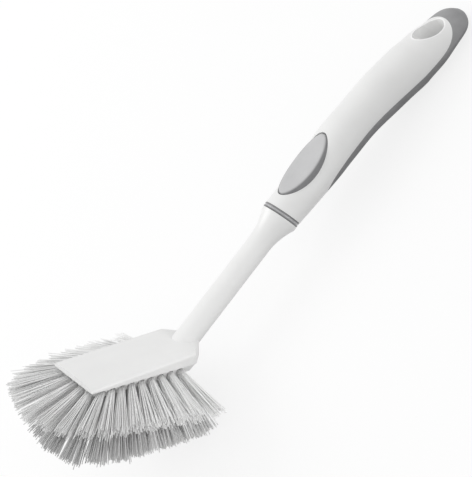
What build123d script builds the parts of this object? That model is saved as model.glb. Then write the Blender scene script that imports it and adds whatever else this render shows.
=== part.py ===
from build123d import *
import os
from math import cos, radians, sin, tan

# A dish brush with a fan-shaped head. All lengths are in millimetres and all angles in degrees.
# The brush is drawn with the top of its head level. X runs back from the front edge of the head,
# Y goes across it and Z is up from its top face. The near side has negative Y. When every piece is
# made, the brush is tipped about Y until its bristles and its handle both lie on the ground.

# Head moulding
head_length = 56.0  # flat top, from the front edge to the shoulders
head_front_width = 31.4
head_rear_width = 29.2
shoulder_length = 5.5  # the cut-off corners beside the foot of the neck
shoulder_width = 17.4
heel_length = 2.2  # behind the shoulders
heel_width = 11.4
heel_radius = 10.6  # rounds the back of the head down to the belly
top_edge_radius = 1.8
crown_rise = 0.6  # the top is slightly domed across
front_lip = 1.9  # thickness of the top plate at the front
bed_slope = 3.8  # the bristle bed falls away towards the neck
bed_overhang = 0.8  # the top plate stands out past the bed
bed_depth = 4.2  # the steep wall that holds the outer tufts
bed_inset = 1.7  # how far that wall leans in
bed_corner_radius = 6.0
belly_depth = 2.9  # the shallow slope that holds the inner tufts
belly_inset = 7.0
belly_corner_radius = 4.0

# Neck
neck_rise = 41.6  # angle of the neck above the top of the head
neck_diameter = 11.4
neck_length = 69.5  # from the top of the head to the ring
neck_root = 8.0  # the part of the neck inside the head
flare_length = 15.0  # the trumpet that widens the neck to the ring
collar_diameter = 18.3  # the flare, the ring and the front of the handle
spigot_diameter = 9.0
spigot_length = 20.0  # past the ring, inside the handle
snap_length = 2.0
snap_height = 0.4
fit_clearance = 0.1
joint_tilt = 5.0  # the joint of neck and handle is cut a little across, later below than above
joint_land = 0.3  # straight collar between the flare and the joint, where it is least

# Ring
ring_width = 2.4
ring_edge = 0.35
ring_groove = 0.5

# Handle
handle_length = 130.8
handle_width = 24.6
handle_thickness = 22.6
handle_straight = 35.0  # keeps the line of the neck
handle_drop = 12.0  # then the handle bends down
handle_drop_length = 50.0
handle_upturn = 8.2  # and its end turns up again
handle_upturn_length = 40.0
nose_length = 13.0
soft_wall = 2.0  # thickness of the soft grip and of the seat of the thumb pad
pad_length = 35.2
pad_width = 16.2
pad_front_level = 9.6  # its dished top above the middle line of the handle, at its front end
pad_middle_level = 8.3
pad_rear_level = 10.6
pad_edge_radius = 0.7
hole_length = 17.0  # hanging hole
hole_width = 12.0
sleeve_wall = 2.2  # the hanging hole goes through the grip in a sleeve
sleeve_cover = 0.8  # of soft grip over that sleeve

# Share of the handle's length, with the width there and the heights above and below the middle
# line, as shares of the largest. The handle is lower under the thumb.
section_shares = [
    (0.048, 0.765, 0.785, 0.840),
    (0.100, 0.810, 0.725, 0.870),
    (0.150, 0.850, 0.690, 0.890),
    (0.200, 0.885, 0.710, 0.920),
    (0.250, 0.910, 0.780, 0.935),
    (0.315, 0.912, 0.915, 0.935),
    (0.394, 0.895, 0.925, 0.925),
    (0.469, 0.902, 0.937, 0.937),
    (0.544, 0.945, 0.985, 0.985),
    (0.619, 0.975, 0.993, 0.993),
    (0.693, 1.000, 1.000, 1.000),
    (0.767, 1.000, 0.902, 0.902),
    (0.842, 0.990, 0.725, 0.725),
]
nose_shares = (0.931, 0.537)  # width and thickness where the nose starts
nose_angles = [0, 30, 55, 75]
pad_place_share = 0.181  # middle of the thumb pad along the handle
hole_place_share = 0.848  # middle of the hanging hole along the handle
# The edge of the soft grip seen from the side, as shares of the length and of half the thickness.
grip_edge_shares = [
    (0.115, -1.25),
    (0.150, -0.68),
    (0.190, -0.33),
    (0.250, -0.16),
    (0.350, -0.09),
    (0.550, -0.08),
    (0.720, -0.07),
    (0.790, 0.01),
    (0.850, 0.15),
    (0.893, 0.33),
    (0.925, 0.50),
    (0.955, 0.72),
    (0.990, 1.20),
]

# Bristles
tuft_hole_diameter = 3.3
tuft_hole_depth = 5.0
tuft_hole_sides = 12  # enough to look round
tuft_clearance = 0.05
bristle_length = 30.0  # outside the head, at the rear of the outer ring
trim_depth = 34.4  # the inner tufts are cut along one plane, this far below the front edge
trim_slope = 2.1  # that plane falls away towards the neck
strand_diameter = 0.5
root_recess = 0.6  # the folded root sits this deep in its hole
strand_grip = 0.3  # the strands start this deep in their folded root
ground_cut = 0.5  # the lowest tips are worn flat by this much
outer_splays = (70.5, 74.0)  # angles of the outer ring from straight down, at its rear and front
inner_splays = (38.9, 41.5)
outer_rear_heading = -4.0  # the rearmost tufts lean a little back from straight sideways
inner_rear_heading = -10.0
front_heading = 90.0
ring_fan_share = 2.7  # a tuft of a ring is this much wider at its tips than at its root
middle_fan_share = 2.3
outer_count = 23
inner_count = 17
middle_count = 6
inner_ring_inset = 7.7  # from the edge of the top plate
outer_row_rear = 48.0
inner_row_rear = 50.5
middle_row_front = 16.0
middle_row_rear = 43.0
# Place from the rear to the front of the outer ring, with the length of the tuft there.
outer_length_shares = [(0, 1), (0.3, 0.93), (0.55, 0.90), (0.8, 0.89), (1, 0.99)]
# Place from the rear to the front of a ring, with the share of the turn from the rear heading.
turn_shares = [(0, 0), (0.1, 0.12), (0.45, 0.34), (0.64, 0.48), (0.8, 0.67), (1, 1)]
# Strands of one tuft: how many stand on each circle, and its share of the root's radius.
strand_circle_shares = [(2, 0.28), (7, 0.82)]
root_sides = 6
strand_sides = 3

# Anchors that hold the folded tufts in their holes
anchor_width = 3.1
anchor_thickness = 0.4
anchor_height = 1.6
anchor_lift = 1.0  # from the bottom of the hole

tip_step = 0.002  # how closely the resting angle is found
overrun = 3.0  # every cut runs this far past the faces that it opens

os.makedirs("parts", exist_ok=True)

slope_rate = tan(radians(bed_slope))
head_end = head_length + shoulder_length + heel_length
belly_level = bed_depth + belly_depth

bed_plane = Plane(
    origin=(0, 0, -front_lip),
    x_dir=(cos(radians(bed_slope)), 0, -sin(radians(bed_slope))),
    z_dir=(sin(radians(bed_slope)), 0, cos(radians(bed_slope))),
)
trim_plane = Plane(
    origin=(0, 0, -trim_depth),
    x_dir=(cos(radians(trim_slope)), 0, -sin(radians(trim_slope))),
    z_dir=(sin(radians(trim_slope)), 0, cos(radians(trim_slope))),
)
# The neck's plane is upright, with its X along the neck and its Y to the upper side of the brush.
neck_plane = Plane(
    origin=(head_length + shoulder_length, 0, 0),
    x_dir=(cos(radians(neck_rise)), 0, sin(radians(neck_rise))),
    z_dir=(0, -1, 0),
)
neck_axis = Axis(neck_plane.origin, neck_plane.x_dir)
# The joint's plane has its X out of the joint, towards the handle.
joint_plane = Plane(
    origin=neck_plane.from_local_coords((neck_length, 0, 0)),
    x_dir=(cos(radians(neck_rise + joint_tilt)), 0, sin(radians(neck_rise + joint_tilt))),
    z_dir=(0, -1, 0),
)
joint_face = Plane(origin=joint_plane.origin, z_dir=joint_plane.x_dir)
joint_axis = Axis(joint_plane.origin, joint_plane.x_dir)
joint_reach = collar_diameter / 2 * tan(radians(joint_tilt))
handle_start = neck_length + ring_width - joint_reach - joint_land


def head_half_width(distance):
    """Half the width of the top plate at a distance behind the front edge."""
    return (head_front_width + (head_rear_width - head_front_width) * distance / head_length) / 2


def plate_section(distance, half_width):
    """Cross-section of the top plate: domed top, rounded upper edges and a base on the bed."""
    base = -front_lip - distance * slope_rate
    with BuildSketch(Plane((distance, 0, 0), x_dir=(0, 1, 0), z_dir=(1, 0, 0))) as section:
        with BuildLine():
            left = Line((-half_width, base), (-half_width, -top_edge_radius))
            left_edge = JernArc(left @ 1, (0, 1), top_edge_radius, -90)
            right_edge_start = (half_width - top_edge_radius, 0)
            crown = ThreePointArc(left_edge @ 1, (0, crown_rise), right_edge_start)
            right_edge = JernArc(crown @ 1, (1, 0), top_edge_radius, -90)
            right = Line(right_edge @ 1, (half_width, base))
            Line(right @ 1, left @ 0)
        make_face()
    return section.sketch


def bed_section(depth, inset, corner_radius):
    """Outline of the bristle bed at a depth below the top plate."""
    edge = bed_overhang + inset
    front = head_half_width(0) - edge
    rear = head_half_width(head_length) - edge
    shoulder = rear * shoulder_width / head_rear_width
    heel = rear * heel_width / head_rear_width
    with BuildSketch(bed_plane.offset(-depth)) as section:
        with BuildLine():
            Polyline(
                (edge, -front),
                (head_length - inset, -rear),
                (head_length + shoulder_length, -shoulder),
                (head_end, -heel),
                (head_end, heel),
                (head_length + shoulder_length, shoulder),
                (head_length - inset, rear),
                (edge, front),
                close=True,
            )
        make_face()
        fillet(section.vertices().group_by(Axis.X)[0], radius=corner_radius)
    return section.sketch


def ring_path(depth, inset, rear, corner_radius):
    """The U-shaped line that a ring of tufts stands on, from the near rear round the front."""
    front_width = head_half_width(0) - inset
    rear_width = head_half_width(rear) - inset
    corners = [(rear, -rear_width), (inset, -front_width), (inset, front_width), (rear, rear_width)]
    with BuildLine(bed_plane.offset(-depth)) as path:
        FilletPolyline(*corners, radius=corner_radius)
    return path.line


def share_at(shares, place):
    """Value of a table of shares at a place between two of its lines."""
    for (start, start_value), (end, end_value) in zip(shares, shares[1:]):
        if place <= end:
            break
    return start_value + (end_value - start_value) * (place - start) / (end - start)


def heading_at(share, rear_heading):
    """Direction in plan of a tuft at a share of its ring: 0 is sideways, 90 is forwards."""
    if share > 1 / 2:
        return 2 * front_heading - heading_at(1 - share, rear_heading)
    return rear_heading + (front_heading - rear_heading) * share_at(turn_shares, 2 * share)


def tuft_planes(path, count, splays, rear_heading):
    """A plane for each tuft of a ring, at the mouth of its hole and facing along the tuft."""
    planes = []
    for index in range(count):
        share = index / (count - 1)
        heading = radians(heading_at(share, rear_heading))
        splay = share_at([(0, splays[0]), (1, splays[1])], 2 * min(share, 1 - share))
        out = sin(radians(splay))
        direction = (-sin(heading) * out, -cos(heading) * out, -cos(radians(splay)))
        level_side = (cos(heading), -sin(heading), 0)
        planes.append(Plane(path @ share, x_dir=level_side, z_dir=direction))
    return planes


outer_path = ring_path(bed_depth / 2, bed_overhang + bed_inset / 2, outer_row_rear, bed_corner_radius)
inner_belly_share = (inner_ring_inset - bed_overhang - bed_inset) / belly_inset
inner_depth = bed_depth + belly_depth * inner_belly_share
inner_path = ring_path(inner_depth, inner_ring_inset, inner_row_rear, belly_corner_radius)
outer_planes = tuft_planes(outer_path, outer_count, outer_splays, outer_rear_heading)
inner_planes = tuft_planes(inner_path, inner_count, inner_splays, inner_rear_heading)
belly_plane = bed_plane.offset(-belly_level)
middle_pitch = (middle_row_rear - middle_row_front) / (middle_count - 1)
middle_places = [middle_row_front + index * middle_pitch for index in range(middle_count)]
middle_planes = [
    Plane(belly_plane.from_local_coords((place, 0, 0)), x_dir=(0, 1, 0), z_dir=-belly_plane.z_dir)
    for place in middle_places
]
all_tuft_planes = outer_planes + inner_planes + middle_planes

# Head and neck: one moulding, with a blind hole for every tuft
heel_centre_x = head_end - heel_radius
heel_centre_z = heel_radius - front_lip - belly_level - heel_centre_x * slope_rate
head_bottom = -front_lip - belly_level - head_end * slope_rate - overrun
flare_end = neck_length - joint_reach - joint_land
spigot_end = handle_start + spigot_length
snap_middle = handle_start + spigot_length / 2
with BuildPart() as head_and_neck:
    plate = [
        plate_section(0, head_half_width(0)),
        plate_section(head_length, head_half_width(head_length)),
        plate_section(head_length + shoulder_length, shoulder_width / 2),
        plate_section(head_end, heel_width / 2),
    ]
    loft(plate, ruled=True)
    bed = [
        bed_section(0, 0, bed_corner_radius),
        bed_section(bed_depth, bed_inset, bed_corner_radius),
        bed_section(belly_level, bed_inset + belly_inset, belly_corner_radius),
    ]
    loft(bed, ruled=True)
    with BuildSketch(Plane.XZ):
        with BuildLine():
            drop = Line((head_end, crown_rise + overrun), (head_end, heel_centre_z))
            heel = JernArc(drop @ 1, (0, -1), heel_radius, -90)
            Polyline(heel @ 1, (heel_centre_x, head_bottom), (-overrun, head_bottom))
            Polyline((-overrun, head_bottom), (-overrun, crown_rise + overrun), drop @ 0)
        make_face()
    extrude(amount=head_front_width, both=True, mode=Mode.INTERSECT)
    with BuildSketch(neck_plane):
        with BuildLine():
            Line((-neck_root, 0), (-neck_root, neck_diameter / 2))
            neck = Line((-neck_root, neck_diameter / 2), (flare_end - flare_length, neck_diameter / 2))
            flare = TangentArc(neck @ 1, (flare_end, collar_diameter / 2), tangent=(1, 0))
            land_end = neck_length + joint_reach
            Polyline(flare @ 1, (land_end, collar_diameter / 2), (land_end, 0), (-neck_root, 0))
        make_face()
    revolve(axis=neck_axis)
    split(bisect_by=joint_face, keep=Keep.BOTTOM)
    with BuildSketch(neck_plane):
        with BuildLine():
            Polyline(
                (neck_length - flare_length, 0),
                (neck_length - flare_length, spigot_diameter / 2),
                (snap_middle - snap_length / 2, spigot_diameter / 2),
                (snap_middle, spigot_diameter / 2 + snap_height),
                (snap_middle + snap_length / 2, spigot_diameter / 2),
                (spigot_end - snap_length, spigot_diameter / 2),
                (spigot_end, spigot_diameter / 2 - snap_height),
                (spigot_end, 0),
                close=True,
            )
        make_face()
    revolve(axis=neck_axis)
    with BuildSketch(*[plane.offset(overrun) for plane in all_tuft_planes]):
        RegularPolygon(tuft_hole_diameter / 2, tuft_hole_sides)
    extrude(amount=-tuft_hole_depth - overrun, mode=Mode.SUBTRACT)
head_and_neck.part.label = "head_and_neck"

# Trim ring, held between the flare of the neck and the handle
with BuildPart() as trim_ring:
    ring_outer = collar_diameter / 2
    with BuildSketch(joint_plane):
        with BuildLine():
            Polyline(
                (0, 0),
                (0, ring_outer - ring_edge),
                (ring_edge, ring_outer),
                ((ring_width - ring_groove) / 2, ring_outer),
                (ring_width / 2, ring_outer - ring_edge),
                ((ring_width + ring_groove) / 2, ring_outer),
                (ring_width - ring_edge, ring_outer),
                (ring_width, ring_outer - ring_edge),
                (ring_width, 0),
                close=True,
            )
        make_face()
    revolve(axis=joint_axis)
    with BuildSketch(Plane(origin=joint_plane.origin, z_dir=neck_plane.x_dir)):
        Circle(spigot_diameter / 2 + fit_clearance)
    extrude(amount=ring_width + overrun, both=True, mode=Mode.SUBTRACT)
trim_ring.part.label = "trim_ring"

# The line that the middle of the handle follows
with BuildLine(neck_plane) as spine:
    straight = Line((handle_start, 0), (handle_start + handle_straight, 0))
    bend = JernArc(straight @ 1, straight % 1, handle_drop_length / radians(handle_drop), -handle_drop)
    middle_length = handle_length - handle_straight - handle_drop_length - handle_upturn_length
    level = Line(bend @ 1, bend @ 1 + (bend % 1) * middle_length)
    JernArc(level @ 1, level % 1, handle_upturn_length / radians(handle_upturn), handle_upturn)


def handle_plane(share):
    """Plane across the handle, its X to the side and its Y to the upper side."""
    return Plane(spine.line @ share, x_dir=(0, 1, 0), z_dir=spine.line % share)


def handle_point(share, height):
    """Point above the middle line of the handle."""
    return handle_plane(share).from_local_coords((0, height, 0))


def handle_form(inset):
    """The rounded form of the handle, or the same form inside its surface."""
    sections = [(0, collar_diameter / 2, collar_diameter / 2, collar_diameter / 2)]
    for place, width_share, *height_shares in section_shares:
        upper, lower = [share * handle_thickness / 2 for share in height_shares]
        sections.append((place, width_share * handle_width / 2, upper, lower))
    for angle in nose_angles:
        along, across = sin(radians(angle)), cos(radians(angle))
        place = 1 - (nose_length * (1 - along) + inset * along) / handle_length
        width = nose_shares[0] * handle_width / 2 * across + inset * (1 - across)
        thickness = nose_shares[1] * handle_thickness / 2 * across + inset * (1 - across)
        sections.append((place, width, thickness, thickness))
    with BuildPart() as form:
        for place, half_width, upper, lower in sections:
            with BuildSketch(handle_plane(place)):
                with BuildLine():
                    EllipticalCenterArc((0, 0), half_width - inset, upper - inset, arc_size=180)
                    EllipticalCenterArc((0, 0), half_width - inset, lower - inset, arc_size=-180)
                make_face()
        loft()
    return form.part


handle_outside = handle_form(0)
handle_core = handle_form(soft_wall)

# Everything above the edge of the soft grip, cut straight across
with BuildPart() as above_grip:
    edge_points = [handle_point(place, height * handle_thickness / 2) for place, height in grip_edge_shares]
    front_low = handle_plane(0).from_local_coords((0, -handle_thickness, -overrun))
    front_high = handle_plane(0).from_local_coords((0, handle_thickness, -overrun))
    rear_high = handle_point(1, handle_thickness)
    with BuildSketch(Plane.XZ) as above_grip_side:
        with BuildLine():
            flat_points = [(point.X, point.Z) for point in edge_points]
            edge = Spline(*flat_points)
            corners = [(point.X, point.Z) for point in (rear_high, front_high, front_low)]
            Polyline(edge @ 1, *corners, edge @ 0)
        make_face()
    extrude(amount=handle_width, both=True)

pad_plane = Plane(
    handle_plane(pad_place_share).origin,
    x_dir=handle_plane(pad_place_share).z_dir,
    z_dir=handle_plane(pad_place_share).y_dir,
)
hole_plane = Plane(
    handle_plane(hole_place_share).origin,
    x_dir=handle_plane(hole_place_share).z_dir,
    z_dir=handle_plane(hole_place_share).y_dir,
)

with BuildPart() as pad_column:
    with BuildSketch(pad_plane):
        Ellipse(pad_length / 2, pad_width / 2)
    extrude(amount=handle_thickness)

with BuildPart() as hanging_column:
    with BuildSketch(hole_plane):
        Ellipse(hole_length / 2, hole_width / 2)
    extrude(amount=handle_thickness, both=True)

# The white sleeve that the hanging hole goes through, joined to the core and to the white top
with BuildPart() as hole_sleeve:
    with BuildSketch(hole_plane):
        Ellipse(hole_length / 2 + sleeve_wall, hole_width / 2 + sleeve_wall)
    extrude(amount=handle_thickness)
    add(handle_form(sleeve_cover), mode=Mode.INTERSECT)

# Handle body: the white moulding, with the seats of the grip and the thumb pad
with BuildPart() as handle_body:
    add(handle_outside)
    add(above_grip.part, mode=Mode.INTERSECT)
    add(pad_column.part, mode=Mode.SUBTRACT)
    add(handle_core)
    add(hole_sleeve.part)
    split(bisect_by=joint_face.offset(ring_width), keep=Keep.TOP)
    with BuildSketch(neck_plane):
        with BuildLine():
            socket_radius = spigot_diameter / 2 + fit_clearance
            Polyline(
                (handle_start - overrun, 0),
                (handle_start - overrun, socket_radius),
                (snap_middle - snap_length / 2 - fit_clearance, socket_radius),
                (snap_middle, socket_radius + snap_height),
                (snap_middle + snap_length / 2 + fit_clearance, socket_radius),
                (spigot_end + fit_clearance, socket_radius),
                (spigot_end + fit_clearance, 0),
                close=True,
            )
        make_face()
    revolve(axis=neck_axis, mode=Mode.SUBTRACT)
    add(hanging_column.part, mode=Mode.SUBTRACT)
handle_body.part.label = "handle_body"

# Back grip: the soft skin round the underside and the end of the handle
with BuildPart() as back_grip:
    add(handle_outside)
    add(above_grip.part, mode=Mode.SUBTRACT)
    add(handle_core, mode=Mode.SUBTRACT)
    add(hole_sleeve.part, mode=Mode.SUBTRACT)
    add(hanging_column.part, mode=Mode.SUBTRACT)
back_grip.part.label = "back_grip"

# Thumb pad: an oval that stands on its seat in the handle, dished along it, with a rounded rim
with BuildPart() as thumb_pad:
    add(pad_column.part)
    with BuildSketch(Plane(pad_plane.origin, x_dir=pad_plane.x_dir, z_dir=neck_plane.z_dir)):
        with BuildLine():
            dish_end = pad_length / 2 + pad_edge_radius
            dish_rear = (dish_end, pad_rear_level)
            dish = ThreePointArc((-dish_end, pad_front_level), (0, pad_middle_level), dish_rear)
            above_dish = 2 * handle_thickness
            Polyline(dish @ 1, (dish_end, above_dish), (-dish_end, above_dish), dish @ 0)
        make_face()
    extrude(amount=pad_width, both=True, mode=Mode.SUBTRACT)
    pad_axis = Axis(pad_plane.origin, pad_plane.z_dir)
    fillet(thumb_pad.faces().sort_by(pad_axis)[-1].edges(), radius=pad_edge_radius)
    add(handle_core, mode=Mode.SUBTRACT)
thumb_pad.part.label = "thumb_pad"


def strand(plane, place_x, place_y, length, fan_share):
    """One filament of a tuft: a thin prism that leans away from the middle of the tuft."""
    lean = (fan_share - 1) / bristle_length
    direction = plane.x_dir * place_x * lean + plane.y_dir * place_y * lean + plane.z_dir
    reach = (length + root_recess + strand_grip) * direction.length
    section = RegularPolygon(strand_diameter / 2, strand_sides, rotation=90)
    foot = plane.offset(-root_recess - strand_grip) * Pos(place_x, place_y) * section
    return extrude(foot, amount=reach, dir=direction)


def tuft(plane, length, fan_share):
    """A folded bundle of filaments: its root in the hole and its strands outside."""
    root_radius = tuft_hole_diameter / 2 - tuft_clearance
    strands = []
    for count, radius_share in strand_circle_shares:
        for index in range(count):
            angle = radians(90 + 360 * index / count)
            circle = radius_share * root_radius
            strands.append(strand(plane, circle * cos(angle), circle * sin(angle), length, fan_share))
    with BuildPart() as bundle:
        with BuildSketch(plane.offset(-root_recess)):
            RegularPolygon(root_radius, root_sides)
        extrude(amount=-(tuft_hole_depth - tuft_clearance - root_recess))
        add(strands)
        with BuildSketch(plane.offset(-tuft_hole_depth + anchor_lift)):
            Rectangle(tuft_hole_diameter, anchor_thickness)
        extrude(amount=anchor_height, mode=Mode.SUBTRACT)
    return bundle


def outer_length(index):
    """Length of a tuft of the outer ring, which is cut shorter at its front corners."""
    share = index / (outer_count - 1)
    return bristle_length * share_at(outer_length_shares, 2 * min(share, 1 - share))


def trimmed_length(plane):
    """Length of a tuft that reaches the trim plane."""
    depth = (plane.origin - trim_plane.origin).dot(trim_plane.z_dir)
    return -depth / plane.z_dir.dot(trim_plane.z_dir)


outer_tufts = [tuft(plane, outer_length(index), ring_fan_share) for index, plane in enumerate(outer_planes)]
inner_tufts = [tuft(plane, trimmed_length(plane), ring_fan_share) for plane in inner_planes]
middle_tufts = [tuft(plane, trimmed_length(plane), middle_fan_share) for plane in middle_planes]
rows = {"outer_tuft": outer_tufts, "inner_tuft": inner_tufts, "middle_tuft": middle_tufts}
for row_name, row in rows.items():
    for number, bundle in enumerate(row, start=1):
        bundle.part.label = f"{row_name}_{number:02d}"

# Anchors: one thin metal plate in the fold of every tuft
with BuildPart() as tuft_anchors:
    for plane in all_tuft_planes:
        with BuildSketch(plane.offset(-tuft_hole_depth + anchor_lift)):
            Rectangle(anchor_width, anchor_thickness)
        extrude(amount=anchor_height)
tuft_anchors.part.label = "tuft_anchors"

# The brush tips about Y until the cut tips and the underside of the handle are at one level
ground_parts = [outer_tufts[0].part, inner_tufts[0].part, middle_tufts[-1].part]


def lowest(parts, angle):
    """Height of the lowest point of some parts when the brush is tipped by an angle."""
    return min((Rotation(0, angle, 0) * part).bounding_box().min.Z for part in parts)


least_tip, most_tip = 0.0, 90.0
while most_tip - least_tip > tip_step:
    tip = (least_tip + most_tip) / 2
    if lowest(ground_parts, tip) + ground_cut < lowest([back_grip.part], tip):
        least_tip = tip
    else:
        most_tip = tip

tipped = Rotation(0, tip, 0)
ground = lowest([back_grip.part], tip)
all_tufts = outer_tufts + inner_tufts + middle_tufts
front_end = min((tipped * bundle.part).bounding_box().min.X for bundle in all_tufts)
rear_end = (tipped * back_grip.part).bounding_box().max.X
standing = Pos(-(front_end + rear_end) / 2, 0, -ground) * tipped
print(f"tipped {tip:.3f} degrees, length {rear_end - front_end:.1f}, front edge at {standing.position}")

for piece in (head_and_neck, trim_ring, handle_body, back_grip, thumb_pad, tuft_anchors):
    export_step(piece.part.moved(standing), f"parts/{piece.part.label}.step")

for bundle in all_tufts:
    with BuildPart() as worn:
        add(bundle.part.moved(standing))
        if worn.part.bounding_box().min.Z < 0:
            split(bisect_by=Plane.XY, keep=Keep.TOP)
    worn.part.label = bundle.part.label
    export_step(worn.part, f"parts/{worn.part.label}.step")
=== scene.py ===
"""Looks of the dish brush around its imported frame. All lengths are in metres."""

import math
import random

import bmesh
import bpy
import numpy as np
from mathutils import Matrix, Vector
from mathutils.bvhtree import BVHTree


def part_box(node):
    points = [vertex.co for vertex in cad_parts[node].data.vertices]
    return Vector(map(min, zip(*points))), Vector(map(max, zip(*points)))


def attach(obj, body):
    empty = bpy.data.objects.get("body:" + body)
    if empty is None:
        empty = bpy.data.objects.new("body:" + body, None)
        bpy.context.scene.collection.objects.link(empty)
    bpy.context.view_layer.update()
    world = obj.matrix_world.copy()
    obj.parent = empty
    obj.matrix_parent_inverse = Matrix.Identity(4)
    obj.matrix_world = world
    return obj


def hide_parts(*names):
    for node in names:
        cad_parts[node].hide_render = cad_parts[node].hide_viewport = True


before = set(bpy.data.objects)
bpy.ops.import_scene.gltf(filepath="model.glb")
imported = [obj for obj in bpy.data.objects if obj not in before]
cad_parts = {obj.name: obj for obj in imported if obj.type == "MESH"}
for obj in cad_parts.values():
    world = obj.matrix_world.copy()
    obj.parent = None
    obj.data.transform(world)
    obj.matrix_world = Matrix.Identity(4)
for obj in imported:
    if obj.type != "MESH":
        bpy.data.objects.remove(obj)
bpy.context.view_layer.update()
scene = bpy.context.scene

SEED = 7
chance = random.Random(SEED)

# Camera, at the photograph's viewing angle. Angles are in degrees, lens and sensor in mm
CAMERA_TARGET = Vector((-0.011771, 0.0, 0.035541))
CAMERA_DISTANCE = 0.90224
CAMERA_AZIMUTH = -6.551  # from straight in front, towards the bristles
CAMERA_ELEVATION = 42.922
CAMERA_ROLL = -49.181
CAMERA_LENS = 149.85
SENSOR_WIDTH = 36.0

# Studio
FLOOR_HALF = 3.0
FLOOR_ROUGHNESS = 0.9
FLOOR_TONE = 0.88  # of the floor that the camera sees
FLOOR_BOUNCE = 0.50  # how much of its light the floor throws back onto the object
FLOOR_GLOW = 0.80  # the share of plain white that the camera sees in the floor
WORLD_LIGHT = 0.85
LAMPS = {
    "key": {"place": (-0.45, 0.80, 0.80), "aim": (0, 0, 0.03), "power": 5.2, "size": 0.7},
    "fill": {
        "place": (0.20, -0.50, 0.06),
        "aim": (-0.080, -0.030, 0.030),
        "power": 0.024,
        "size": 0.15,
        "beam": 22,
    },
}

# Bristles
FILAMENTS = {"outer": 56, "inner": 76, "middle": 60}  # in one tuft
FILAMENT_RADIUS = 0.00019
FILAMENT_SIDES = 5
FILAMENT_RINGS = 5
ROOT_RADIUS = 0.0015  # of a tuft
ROOT_DEPTH = 0.0015  # the filaments start this deep in the hole
FAN_SHARES = {"outer": 1.7, "inner": 2.9, "middle": 2.6}  # widening of a tuft, as a share of its root radius
STRAY = 0.016  # spread of the filaments' headings
STRAY_SHARE = 0.08  # of the filaments stray further
STRAY_FAR = 0.05
DROOP = 0.010  # spread of their bend, as a share of their length
LENGTH_SPREAD = 0.022  # of the filaments, as a share of their length
TUFT_HOLE_DEPTH = 0.00495  # from the foot of the root plug to the mouth of its hole
PLUG_LENGTH = 0.00435
MATCH = 0.0002  # vertices this close to a level belong to it
FLOOR_GAP = 0.0002  # the lowest tips are worn level this far above the floor
GOLDEN_ANGLE = math.pi * (3 - math.sqrt(5))

# Tones of the filaments, dark to light, in the tufts at the front of the head and at its rear. Within these
# each filament's tone is random, but the darker front tufts and inner and middle rows are painted shade
FRONT_TONES_AND_SHADE = {"outer": (0.50, 1.0), "inner": (0.22, 0.50), "middle": (0.22, 0.50)}
REAR_TONES_AND_SHADE = {"outer": (0.96, 1.0), "inner": (0.62, 0.95), "middle": (0.62, 0.95)}
TIP_PAINTED_SHADE = 0.06  # how much darker a filament's tip is than its root, painted shade that evens the lamp-lit tips with the shaded roots

# Thumb pad, as its solid stands
PAD_CENTRE = Vector((0.03407, 0.0, 0.02072))
PAD_RISE = math.radians(-1.641)
PAD_ALONG = Vector((math.cos(PAD_RISE), 0, math.sin(PAD_RISE)))
PAD_ACROSS = Vector((0, 1, 0))
PAD_UP = PAD_ALONG.cross(PAD_ACROSS)
PAD_HALF_LENGTH = 0.0176
PAD_HALF_WIDTH = 0.0081
PAD_LEVEL = 0.0083  # middle of its dished top above the middle line of the handle
PAD_SLOPE = 0.0273  # of the top there
PAD_BEND = 5.375  # of the dish, per metre
PAD_ROUNDING = 0.0020
PAD_SIDES = 96
PAD_RINGS = 10
ROUNDING_RINGS = 7
SEAT_SHARE = 0.985  # the seat is found this far out, clear of the solid's edge

# Hanging hole, and the painted light inside it
HOLE_CENTRE = (0.1202, 0.0, 0.00835)
HOLE_TILT = math.radians(9.52)
HOLE_HALVES = (0.0085, 0.0060)
HOLE_FADE = (1.12, 1.02)  # its painted light comes in between these shares of its halves

# Finishes: colours and roughness from low to high, noise in bumps per metre, relief in metres
WHITE_COLOURS = ((0.79, 0.79, 0.785), (0.82, 0.82, 0.815))
WHITE_MOTTLE = {"scale": 60, "detail": 3}
WHITE_SMEARS = {"scale": 900}
WHITE_ROUGHNESS = (0.26, 0.36)
WHITE_WAVES = {"scale": 220}
WHITE_RELIEF = 0.00003
# Painted light that whitens the shaded walls inside the hanging hole
HOLE_LIGHT_COLOUR = (0.98, 0.98, 0.975, 1)

# Rubber is a grey pair where it faces up and a darker pair elsewhere, as painted shade where it turns away
# from the light. Start and end are how much it faces up where one pair turns into the other
UP = (0, 0, 1)
# Painted shade on the grip's underside and lower sides
GRIP_RUBBER = {
    "upper": (0.27, 0.32),
    "painted_shade_greys": (0.10, 0.13),
    "start": -0.75,
    "end": 0.05,
    "grain": {"scale": 2200, "roughness": 0.6},
}
# Painted shade on the pad's rounded rim
PAD_RUBBER = {
    "upper": (0.50, 0.55),
    "painted_shade_greys": (0.20, 0.24),
    "start": 0.74,
    "end": 0.97,
    "grain": {"scale": 3000, "roughness": 0.6},
}
RUBBER_BLUE = 0.005  # added to the blue of its greys
RUBBER_MOTTLE = {"scale": 140, "detail": 4}
RUBBER_SMEARS = {"scale": 1500}
RUBBER_ROUGHNESS = (0.50, 0.66)
RUBBER_SHEEN = 0.08
RUBBER_RELIEF = 0.00002

RING_COLOURS = ((0.20, 0.20, 0.205), (0.27, 0.27, 0.275))
RING_HIGHLIGHT_HALF_WIDTH = 0.00045  # half width of its painted highlight, a light line round its middle
RING_HIGHLIGHT_COLOUR = (0.62, 0.62, 0.63, 1)
RING_METALLIC = 0.5
RING_MOTTLE = {"scale": 260, "detail": 3}
RING_SMEARS = {"scale": 1200}
RING_ROUGHNESS = (0.24, 0.36)
RING_SCRATCHES = {"scale": 2600, "detail": 1}
RING_RELIEF = 0.00001
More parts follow.
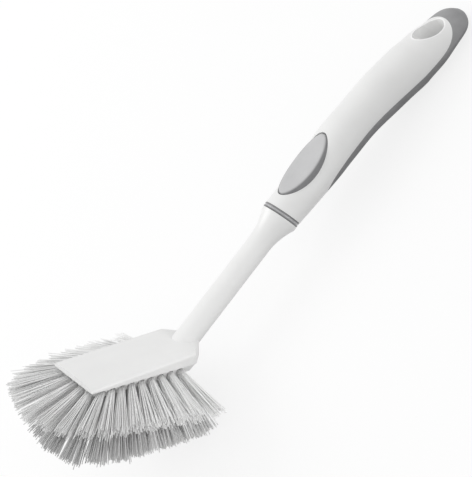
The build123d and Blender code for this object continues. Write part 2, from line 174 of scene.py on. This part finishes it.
# Nylon from dark to light by tone. Its darker tones are painted shade
NYLON_COLOURS = ((0.40, 0.40, 0.40), (0.99, 0.99, 0.985))
NYLON_SMEARS = {"scale": 800}
NYLON_ROUGHNESS = (0.30, 0.45)
STAPLE_COLOURS = ((0.60, 0.60, 0.61), (0.74, 0.74, 0.75))
STAPLE_MOTTLE = {"scale": 700, "detail": 3}
STAPLE_SMEARS = {"scale": 2000}
STAPLE_ROUGHNESS = (0.28, 0.42)


# Nodes of the materials


def new_material(name):
    """A new material, its node tree and its shader."""
    material = bpy.data.materials.new(name)
    material.use_nodes = True
    return material, material.node_tree, material.node_tree.nodes["Principled BSDF"]


def put(tree, value, socket):
    """Links an output to a socket, or sets the socket to a plain value."""
    if isinstance(value, bpy.types.NodeSocket):
        tree.links.new(value, socket)
    else:
        socket.default_value = value


def math_node(tree, operation, *values):
    """Arithmetic on outputs or plain numbers."""
    node = tree.nodes.new("ShaderNodeMath")
    node.operation = operation
    for value, socket in zip(values, node.inputs):
        put(tree, value, socket)
    return node.outputs["Value"]


def vector_math(tree, operation, result, *values):
    """Arithmetic on vectors, whose result is a Vector or a Value."""
    node = tree.nodes.new("ShaderNodeVectorMath")
    node.operation = operation
    for value, socket in zip(values, node.inputs):
        put(tree, value, socket)
    return node.outputs[result]


def on_object(tree, output="Object"):
    """A place or a normal in object space, so that what follows it stays on the piece."""
    return tree.nodes.new("ShaderNodeTexCoord").outputs[output]


def noise(tree, scale, detail=2.0, roughness=0.5):
    """Noise on the piece. The scale is in bumps per metre."""
    texture = tree.nodes.new("ShaderNodeTexNoise")
    texture.inputs["Scale"].default_value = scale
    texture.inputs["Detail"].default_value = detail
    texture.inputs["Roughness"].default_value = roughness
    tree.links.new(on_object(tree), texture.inputs["Vector"])
    return texture.outputs["Fac"]


def ramp(tree, source, low, high, start=0.3, end=0.7):
    """Two colours mixed by a source."""
    node = tree.nodes.new("ShaderNodeValToRGB")
    for element, position, colour in zip(node.color_ramp.elements, (start, end), (low, high)):
        element.position = position
        element.color = (*colour, 1)
    tree.links.new(source, node.inputs["Fac"])
    return node.outputs["Color"]


def spread(tree, source, low=0, high=1, start=0, end=1):
    """A number that goes from low to high as its source goes from start to end."""
    node = tree.nodes.new("ShaderNodeMapRange")
    node.inputs["From Min"].default_value = start
    node.inputs["From Max"].default_value = end
    node.inputs["To Min"].default_value = low
    node.inputs["To Max"].default_value = high
    tree.links.new(source, node.inputs["Value"])
    return node.outputs["Result"]


def mix_colours(tree, share, first, second):
    """Two colours mixed by a share of the second."""
    node = tree.nodes.new("ShaderNodeMix")
    node.data_type = "RGBA"
    factor, colour_a, colour_b = node.inputs[0], node.inputs[6], node.inputs[7]
    tree.links.new(share, factor)
    put(tree, first, colour_a)
    put(tree, second, colour_b)
    return node.outputs[2]


def mix_shaders(tree, share, first, second, output):
    """Sends two shaders, mixed by a share of the second, to the output."""
    node = tree.nodes.new("ShaderNodeMixShader")
    for source, socket in zip((share, first, second), node.inputs):
        tree.links.new(source, socket)
    tree.links.new(node.outputs[0], output.inputs[0])


def roughen(tree, shader, smears, limits):
    """Roughness that changes a little over the surface, like faint smears."""
    tree.links.new(spread(tree, noise(tree, **smears), *limits), shader.inputs["Roughness"])


def bump(tree, shader, source, height):
    """Relief of a height in metres."""
    node = tree.nodes.new("ShaderNodeBump")
    node.inputs["Distance"].default_value = height
    tree.links.new(source, node.inputs["Height"])
    tree.links.new(node.outputs["Normal"], shader.inputs["Normal"])


# Materials


def hole_light_mask(tree):
    """1 inside the hanging hole and 0 outside it, whatever the depth. It places the painted light in the
    hole.
    """
    hole = tree.nodes.new("ShaderNodeMapping")
    hole.vector_type = "TEXTURE"
    hole.inputs["Location"].default_value = HOLE_CENTRE
    hole.inputs["Rotation"].default_value = (0, HOLE_TILT, 0)
    hole.inputs["Scale"].default_value = (*HOLE_HALVES, 1)
    tree.links.new(on_object(tree), hole.inputs["Vector"])
    flat = vector_math(tree, "MULTIPLY", "Vector", hole.outputs["Vector"], (1, 1, 0))
    start, end = HOLE_FADE
    return spread(tree, vector_math(tree, "LENGTH", "Value", flat), start=start, end=end)


def gloss_white(name, with_hole_light=False):
    """White moulded plastic, glossy with a faint waviness, with painted light that makes it whiter inside
    the hanging hole.
    """
    material, tree, shader = new_material(name)
    colour = ramp(tree, noise(tree, **WHITE_MOTTLE), *WHITE_COLOURS)
    if with_hole_light:
        colour = mix_colours(tree, hole_light_mask(tree), colour, HOLE_LIGHT_COLOUR)
    tree.links.new(colour, shader.inputs["Base Color"])
    roughen(tree, shader, WHITE_SMEARS, WHITE_ROUGHNESS)
    bump(tree, shader, noise(tree, **WHITE_WAVES), WHITE_RELIEF)
    return material


def soft_rubber(name, facing, upper, painted_shade_greys, start, end, grain):
    """Soft-touch rubber with a fine even grain, with painted shade that makes it darker where it turns away
    from the facing direction.
    """
    material, tree, shader = new_material(name)
    turned = vector_math(tree, "DOT_PRODUCT", "Value", on_object(tree, "Normal"), facing)
    mottle = noise(tree, **RUBBER_MOTTLE)
    low, high = [
        ramp(tree, mottle, *[(tone, tone, tone + RUBBER_BLUE) for tone in tones]) for tones in (painted_shade_greys, upper)
    ]
    # Painted shade: from the darker greys to the rubber's own greys as the surface turns towards the facing
    # direction
    edge = spread(tree, turned, start=start, end=end)
    tree.links.new(mix_colours(tree, edge, low, high), shader.inputs["Base Color"])
    roughen(tree, shader, RUBBER_SMEARS, RUBBER_ROUGHNESS)
    shader.inputs["Sheen Weight"].default_value = RUBBER_SHEEN
    bump(tree, shader, noise(tree, **grain), RUBBER_RELIEF)
    return material


def satin_ring():
    """Grey satin ring, dark at both edges, with a painted highlight as a lighter line round its middle."""
    material, tree, shader = new_material("satin_ring")
    points = node_points("trim_ring")
    centre = (points.min(axis=0) + points.max(axis=0)) / 2
    axis = np.linalg.svd(points - points.mean(axis=0), full_matrices=False)[2][2]
    from_centre = vector_math(tree, "SUBTRACT", "Vector", on_object(tree), centre)
    along = vector_math(tree, "DOT_PRODUCT", "Value", from_centre, axis)
    # Painted highlight round the ring's middle
    line = spread(tree, math_node(tree, "ABSOLUTE", along), start=RING_HIGHLIGHT_HALF_WIDTH, end=RING_HIGHLIGHT_HALF_WIDTH / 2)
    grey = ramp(tree, noise(tree, **RING_MOTTLE), *RING_COLOURS)
    tree.links.new(mix_colours(tree, line, grey, RING_HIGHLIGHT_COLOUR), shader.inputs["Base Color"])
    shader.inputs["Metallic"].default_value = RING_METALLIC
    roughen(tree, shader, RING_SMEARS, RING_ROUGHNESS)
    bump(tree, shader, noise(tree, **RING_SCRATCHES), RING_RELIEF)
    return material


def nylon():
    """Off-white filament. Each filament has its own tone, kept on its mesh, partly random and partly painted
    shade.
    """
    material, tree, shader = new_material("nylon")
    tone = tree.nodes.new("ShaderNodeAttribute")
    tone.attribute_name = "tone"
    colour = ramp(tree, tone.outputs["Fac"], *NYLON_COLOURS, start=0, end=1)
    tree.links.new(colour, shader.inputs["Base Color"])
    roughen(tree, shader, NYLON_SMEARS, NYLON_ROUGHNESS)
    return material


def staple_metal():
    """Bright soft metal of the anchors."""
    material, tree, shader = new_material("staple_metal")
    tree.links.new(ramp(tree, noise(tree, **STAPLE_MOTTLE), *STAPLE_COLOURS), shader.inputs["Base Color"])
    roughen(tree, shader, STAPLE_SMEARS, STAPLE_ROUGHNESS)
    shader.inputs["Metallic"].default_value = 1.0
    return material


# CAD nodes and new pieces


def show(node, material):
    """Gives a CAD node its material."""
    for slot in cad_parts[node].material_slots:
        slot.material = material


def node_points(node):
    """The vertices of a CAD node, one in each row."""
    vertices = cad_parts[node].data.vertices
    points = np.empty(len(vertices) * 3)
    vertices.foreach_get("co", points)
    return points.reshape(-1, 3)


def add_piece(name, mesh, material):
    """Makes a finished bmesh into a piece of the scene."""
    data = bpy.data.meshes.new(name)
    mesh.to_mesh(data)
    mesh.free()
    data.materials.append(material)
    piece = bpy.data.objects.new(name, data)
    scene.collection.objects.link(piece)
    return piece


# Thumb pad


def pad_rim():
    """The places round the pad's outline, each with the direction straight out of it."""
    rim = []
    for side in range(PAD_SIDES):
        turn = 2 * math.pi * side / PAD_SIDES
        place = Vector((PAD_HALF_LENGTH * math.cos(turn), PAD_HALF_WIDTH * math.sin(turn)))
        out = Vector((math.cos(turn) / PAD_HALF_LENGTH, math.sin(turn) / PAD_HALF_WIDTH)).normalized()
        rim.append((place, out))
    return rim


def build_pad(material):
    """The thumb pad with a well rounded rim, on the seat and inside the outline of its solid."""
    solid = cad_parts["thumb_pad"].data
    surface = BVHTree.FromPolygons([v.co for v in solid.vertices], [p.vertices for p in solid.polygons])
    mesh = bmesh.new()

    def corner(place, height):
        along, across = place
        return mesh.verts.new(PAD_CENTRE + PAD_ALONG * along + PAD_ACROSS * across + PAD_UP * height)

    def on_top(place, drop=0):
        along = place[0]
        return corner(place, PAD_LEVEL + PAD_SLOPE * along + PAD_BEND * along * along - drop)

    def on_seat(place):
        along, across = place
        start = PAD_CENTRE + PAD_ALONG * along * SEAT_SHARE + PAD_ACROSS * across * SEAT_SHARE
        return corner(place, (surface.ray_cast(start, PAD_UP)[0] - PAD_CENTRE).dot(PAD_UP))

    rim = pad_rim()
    rings = []
    for ring in range(1, PAD_RINGS + 1):
        share = ring / PAD_RINGS
        rings.append([on_top((place - out * PAD_ROUNDING) * share) for place, out in rim])
    for ring in range(1, ROUNDING_RINGS + 1):
        bend = math.pi / 2 * ring / ROUNDING_RINGS
        inward = PAD_ROUNDING * (1 - math.sin(bend))
        drop = PAD_ROUNDING * (1 - math.cos(bend))
        rings.append([on_top(place - out * inward, drop) for place, out in rim])
    for ring in range(PAD_RINGS, 0, -1):
        rings.append([on_seat(place * (ring / PAD_RINGS)) for place, out in rim])
    middle = Vector((0, 0))
    top, bottom = on_top(middle), on_seat(middle)
    for side in range(PAD_SIDES):
        after = (side + 1) % PAD_SIDES
        mesh.faces.new((top, rings[0][side], rings[0][after]))
        mesh.faces.new((bottom, rings[-1][after], rings[-1][side]))
        for inner, outer in zip(rings, rings[1:]):
            mesh.faces.new((inner[side], outer[side], outer[after], inner[after]))
    for face in mesh.faces:
        face.smooth = True
    bmesh.ops.recalc_face_normals(mesh, faces=mesh.faces)
    piece = add_piece("pad_skin", mesh, material)
    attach(piece, "root")
    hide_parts("thumb_pad")


# Bristles

anchors_low, anchors_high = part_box("tuft_anchors")


def tuft_axis(node):
    """Mouth of a tuft's hole, its direction out of the head and its length, from its CAD node."""
    points = node_points(node)
    middle = points.mean(axis=0)
    axis = np.linalg.svd(points - middle, full_matrices=False)[2][0]
    roots = np.mean((anchors_low, anchors_high), axis=0)
    if (middle - roots) @ axis < 0:
        axis = -axis
    along = points @ axis
    bottom = points[along < along.min() + MATCH].mean(axis=0)
    top = points[abs(along - along.min() - PLUG_LENGTH) < MATCH].mean(axis=0)
    direction = (top - bottom) / np.linalg.norm(top - bottom)
    mouth = bottom + direction * TUFT_HOLE_DEPTH
    length = ((points - mouth) @ direction).max()
    return Vector(mouth), Vector(direction), float(length)


def tone_and_shade_limits(row, mouth):
    """Darkest and lightest tone of a tuft, by its row and how far back on the head it stands. The darker
    tones at the front and in the inner and middle rows are painted shade.
    """
    back = (mouth.x - anchors_low[0]) / (anchors_high[0] - anchors_low[0])
    return [front + (rear - front) * back for front, rear in zip(FRONT_TONES_AND_SHADE[row], REAR_TONES_AND_SHADE[row])]


def filament(mesh, tones, start, heading, droop, length, tone):
    """One filament: a thin tube that starts along its heading and bends a little."""
    side = heading.orthogonal().normalized()
    other = heading.cross(side)
    rings = []
    for ring in range(FILAMENT_RINGS):
        share = ring / (FILAMENT_RINGS - 1)
        centre = start + heading * length * share + droop * length * share**2
        corners = []
        for corner in range(FILAMENT_SIDES):
            turn = 2 * math.pi * corner / FILAMENT_SIDES
            out = side * math.cos(turn) + other * math.sin(turn)
            corners.append(mesh.verts.new(centre + out * FILAMENT_RADIUS))
        rings.append(corners)
    faces = [mesh.faces.new(rings[-1]), mesh.faces.new(reversed(rings[0]))]
    for low, high in zip(rings, rings[1:]):
        for corner in range(FILAMENT_SIDES):
            after = (corner + 1) % FILAMENT_SIDES
            faces.append(mesh.faces.new((low[corner], low[after], high[after], high[corner])))
    for face in faces:
        face.smooth = len(face.verts) == 4
    for ring, corners in enumerate(rings):
        for vertex in corners:
            # Darker towards the tip: painted shade that evens the lamp-lit tips with the shaded roots
            vertex[tones] = tone - TIP_PAINTED_SHADE * ring / (FILAMENT_RINGS - 1)


def build_tuft(node, material):
    """A full tuft of fine filaments in place of the few thick strands of a CAD tuft."""
    mouth, direction, length = tuft_axis(node)
    row = node.split("_")[0]
    count = FILAMENTS[row]
    # Painted shade: darker tones for the front tufts and the inner and middle rows
    dark, light = tone_and_shade_limits(row, mouth)
    side = direction.orthogonal().normalized()
    other = direction.cross(side)
    mesh = bmesh.new()
    tones = mesh.verts.layers.float.new("tone")
    for index in range(count):
        radius = ROOT_RADIUS * math.sqrt((index + 0.5) / count)
        turn = index * GOLDEN_ANGLE
        out = side * math.cos(turn) + other * math.sin(turn)
        width = STRAY_FAR if chance.random() < STRAY_SHARE else STRAY
        stray = side * chance.gauss(0, width) + other * chance.gauss(0, width)
        heading = (direction + out * (radius * FAN_SHARES[row] / length) + stray).normalized()
        droop = side * chance.gauss(0, DROOP) + other * chance.gauss(0, DROOP)
        reach = length * (1 + chance.gauss(0, LENGTH_SPREAD))
        start = mouth + out * radius - heading * ROOT_DEPTH
        tip = start + (heading + droop) * reach
        if tip.z < FLOOR_GAP:
            reach *= (start.z - FLOOR_GAP) / (start.z - tip.z)
        filament(mesh, tones, start, heading, droop, reach, chance.uniform(dark, light))
    piece = add_piece(node + "_filaments", mesh, material)
    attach(piece, "root")
    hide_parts(node)


# Studio


def add_camera():
    """The camera, turned about its own line of sight by the roll."""
    azimuth = math.radians(CAMERA_AZIMUTH)
    elevation = math.radians(CAMERA_ELEVATION)
    level = math.cos(elevation)
    back = Vector((math.sin(azimuth) * level, -math.cos(azimuth) * level, math.sin(elevation)))
    roll = Matrix.Rotation(math.radians(CAMERA_ROLL), 3, "Z").to_quaternion()
    turned = back.to_track_quat("Z", "Y") @ roll
    data = bpy.data.cameras.new("camera")
    data.lens = CAMERA_LENS
    data.sensor_width = SENSOR_WIDTH
    camera = bpy.data.objects.new("camera", data)
    camera.matrix_world = Matrix.LocRotScale(CAMERA_TARGET + back * CAMERA_DISTANCE, turned, None)
    scene.collection.objects.link(camera)
    scene.camera = camera


def add_floor():
    """A pale floor that looks near white to the camera and keeps the object's shadow."""
    mesh = bpy.data.meshes.new("floor")
    corners = [(x * FLOOR_HALF, y * FLOOR_HALF, 0) for x, y in ((-1, -1), (1, -1), (1, 1), (-1, 1))]
    mesh.from_pydata(corners, [], [(0, 1, 2, 3)])
    floor = bpy.data.objects.new("floor", mesh)
    scene.collection.objects.link(floor)
    material, tree, shader = new_material("floor")
    shader.inputs["Roughness"].default_value = FLOOR_ROUGHNESS
    rays = tree.nodes.new("ShaderNodeLightPath").outputs
    bounced, viewed = [(tone, tone, tone, 1) for tone in (FLOOR_BOUNCE, FLOOR_TONE)]
    colour = mix_colours(tree, rays["Is Camera Ray"], bounced, viewed)
    tree.links.new(colour, shader.inputs["Base Color"])
    seen = math_node(tree, "MAXIMUM", rays["Is Camera Ray"], rays["Is Glossy Ray"])
    seen = math_node(tree, "MAXIMUM", seen, rays["Is Transmission Ray"])
    share = math_node(tree, "MULTIPLY", seen, FLOOR_GLOW)
    glow = tree.nodes.new("ShaderNodeEmission")
    mix_shaders(tree, share, shader.outputs[0], glow.outputs[0], tree.nodes["Material Output"])
    mesh.materials.append(material)


def add_lamp(name, place, aim, power, size, beam=180):
    """A soft square lamp that faces a point. The beam is in degrees."""
    data = bpy.data.lights.new(name, "AREA")
    data.energy = power
    data.size = size
    data.spread = math.radians(beam)
    lamp = bpy.data.objects.new(name, data)
    line = Vector(aim) - Vector(place)
    lamp.matrix_world = Matrix.LocRotScale(Vector(place), line.to_track_quat("-Z", "Y"), None)
    scene.collection.objects.link(lamp)


def add_world():
    """White to the camera, and an even soft light on the object."""
    world = bpy.data.worlds.new("studio")
    world.use_nodes = True
    scene.world = world
    tree = world.node_tree
    light = tree.nodes["Background"]
    white = tree.nodes.new("ShaderNodeBackground")
    for background, strength in ((light, WORLD_LIGHT), (white, 1)):
        background.inputs["Color"].default_value = (1, 1, 1, 1)
        background.inputs["Strength"].default_value = strength
    to_camera = tree.nodes.new("ShaderNodeLightPath").outputs["Is Camera Ray"]
    mix_shaders(tree, to_camera, light.outputs[0], white.outputs[0], tree.nodes["World Output"])


scene.view_settings.view_transform = "Standard"
add_camera()
add_floor()
add_world()
for lamp_name, lamp_values in LAMPS.items():
    add_lamp(lamp_name, **lamp_values)

show("head_and_neck", gloss_white("head_white"))
show("handle_body", gloss_white("handle_white", with_hole_light=True))
show("back_grip", soft_rubber("grip_rubber", UP, **GRIP_RUBBER))
build_pad(soft_rubber("pad_rubber", PAD_UP, **PAD_RUBBER))
show("trim_ring", satin_ring())
show("tuft_anchors", staple_metal())

nylon_material = nylon()
for node_name in sorted(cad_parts):
    if "_tuft_" in node_name:
        build_tuft(node_name, nylon_material)
